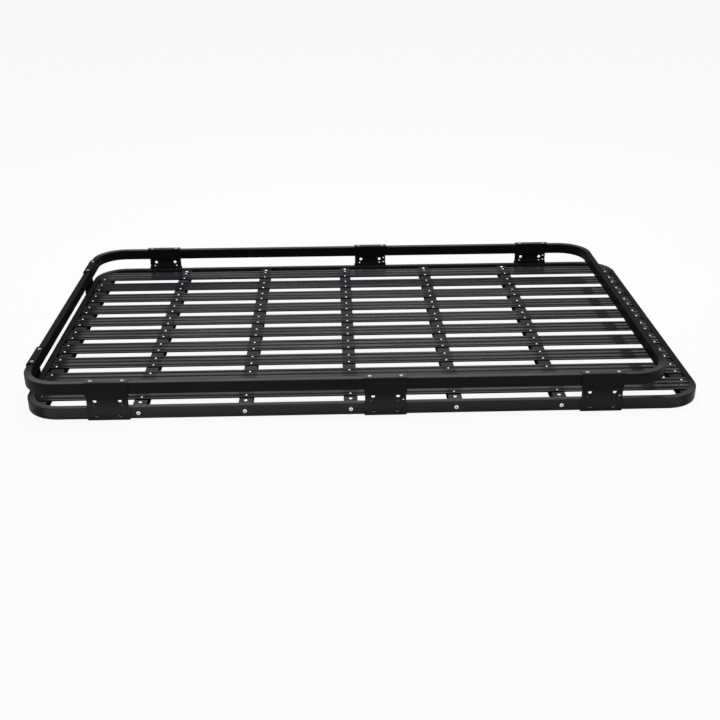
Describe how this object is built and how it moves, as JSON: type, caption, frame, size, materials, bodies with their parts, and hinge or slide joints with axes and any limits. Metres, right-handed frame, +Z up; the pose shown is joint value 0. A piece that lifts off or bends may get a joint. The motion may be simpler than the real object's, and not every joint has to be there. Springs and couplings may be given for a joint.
{
  "type": "roof rack",
  "caption": "Flat basket roof rack: a deck of ribbed planks on crossbars inside a bent tube ring, with a second ring held above it by folded plates.",
  "frame": {"origin": "middle of the rack's bounding box, at the level of the plates' lower edges", "axes": "+X along the rack towards the end where the upper ring is set back, +Y across it to the rear side, +Z up"},
  "size_m": [2.2112, 1.3336, 0.1333],
  "materials": {
    "lower_ring_coat": "satin black powder coat on steel tube",
    "upper_ring_coat": "satin black powder coat on steel tube",
    "crossbar_coat": "satin black coat on aluminium tube",
    "plank_coat": "satin dark grey coat on ribbed aluminium plank",
    "plate_coat": "satin black powder coat on folded steel plate"
  },
  "bodies": {
    "root": {"lower_front_rail": "lower_ring_coat", "lower_rear_rail": "lower_ring_coat", "lower_left_rail": "lower_ring_coat", "lower_right_rail": "lower_ring_coat", "lower_corner_front_left": "lower_ring_coat", "lower_corner_front_right": "lower_ring_coat", "lower_corner_rear_left": "lower_ring_coat", "lower_corner_rear_right": "lower_ring_coat", "upper_front_rail": "upper_ring_coat", "upper_rear_rail": "upper_ring_coat", "upper_left_rail": "upper_ring_coat", "upper_right_rail": "upper_ring_coat", "upper_corner_front_left": "upper_ring_coat", "upper_corner_front_right": "upper_ring_coat", "upper_corner_rear_left": "upper_ring_coat", "upper_corner_rear_right": "upper_ring_coat", "crossbar_left_end": "crossbar_coat", "crossbar_1": "crossbar_coat", "crossbar_2": "crossbar_coat", "crossbar_3": "crossbar_coat", "crossbar_4": "crossbar_coat", "crossbar_5": "crossbar_coat", "crossbar_right_end": "crossbar_coat", "deck_slat_01": "plank_coat", "deck_slat_02": "plank_coat", "deck_slat_03": "plank_coat", "deck_slat_04": "plank_coat", "deck_slat_05": "plank_coat", "deck_slat_06": "plank_coat", "deck_slat_07": "plank_coat", "deck_slat_08": "plank_coat", "deck_slat_09": "plank_coat", "deck_slat_10": "plank_coat", "side_plate_front_left": "plate_coat", "side_plate_front_centre": "plate_coat", "side_plate_front_right": "plate_coat", "side_plate_rear_left": "plate_coat", "side_plate_rear_centre": "plate_coat", "side_plate_rear_right": "plate_coat", "end_plate_front": "plate_coat", "end_plate_rear": "plate_coat"}
  },
  "joints": []
}
